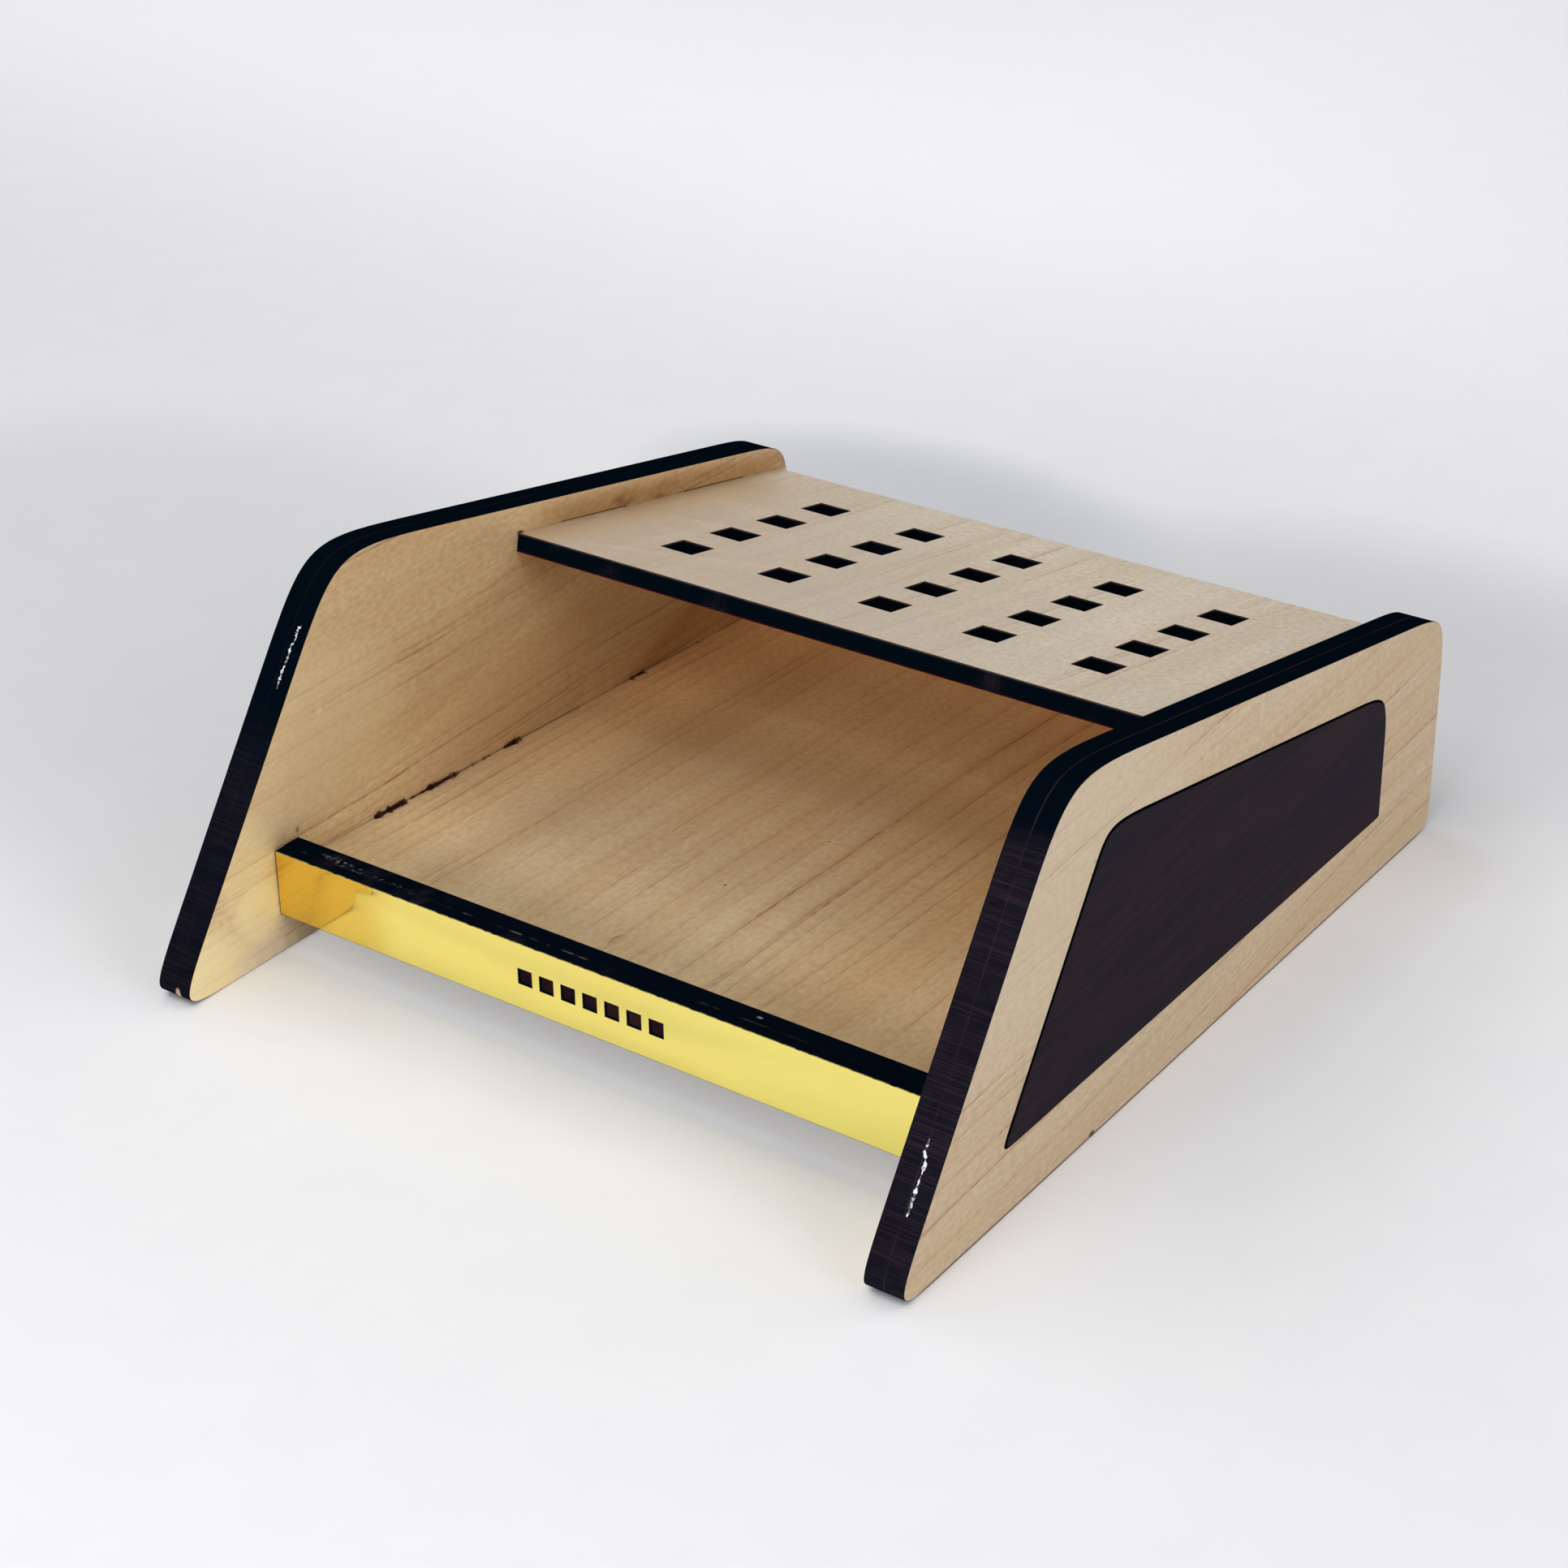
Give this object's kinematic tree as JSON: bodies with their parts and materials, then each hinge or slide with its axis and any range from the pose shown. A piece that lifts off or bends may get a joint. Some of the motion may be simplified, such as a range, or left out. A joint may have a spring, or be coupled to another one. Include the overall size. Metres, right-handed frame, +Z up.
{
  "type": "memo holder",
  "caption": "Desk memo holder: raked double-skinned wooden cheeks with dark inlays carry a sloping paper floor, a holed top panel over the back half and a low gold-faced front rail.",
  "frame": {"origin": "on the desk, under the middle of the whole holder's width and depth", "axes": "+X to the holder's right as seen from the front, +Y from the open front to the back, +Z up"},
  "size_m": [0.1284, 0.1476, 0.0561],
  "materials": {
    "cheek_maple": "pale maple veneer, satin, with charred black cut edges",
    "panel_maple": "pale maple veneer, satin, with charred black cut edges",
    "dark_inlay": "dark veneer, smooth satin",
    "rail_board": "board with charred black cut edges",
    "gold_mirror": "gold mirror sheet with a row of dark engraved squares"
  },
  "bodies": {
    "root": {"left_cheek_outer": "cheek_maple", "left_cheek_inner": "cheek_maple", "left_inlay": "dark_inlay", "right_cheek_outer": "cheek_maple", "right_cheek_inner": "cheek_maple", "right_inlay": "dark_inlay", "floor_panel": "panel_maple", "top_panel": "panel_maple", "back_panel": "panel_maple", "rail_backing": "rail_board", "rail_gold_strip": "gold_mirror"}
  },
  "joints": []
}
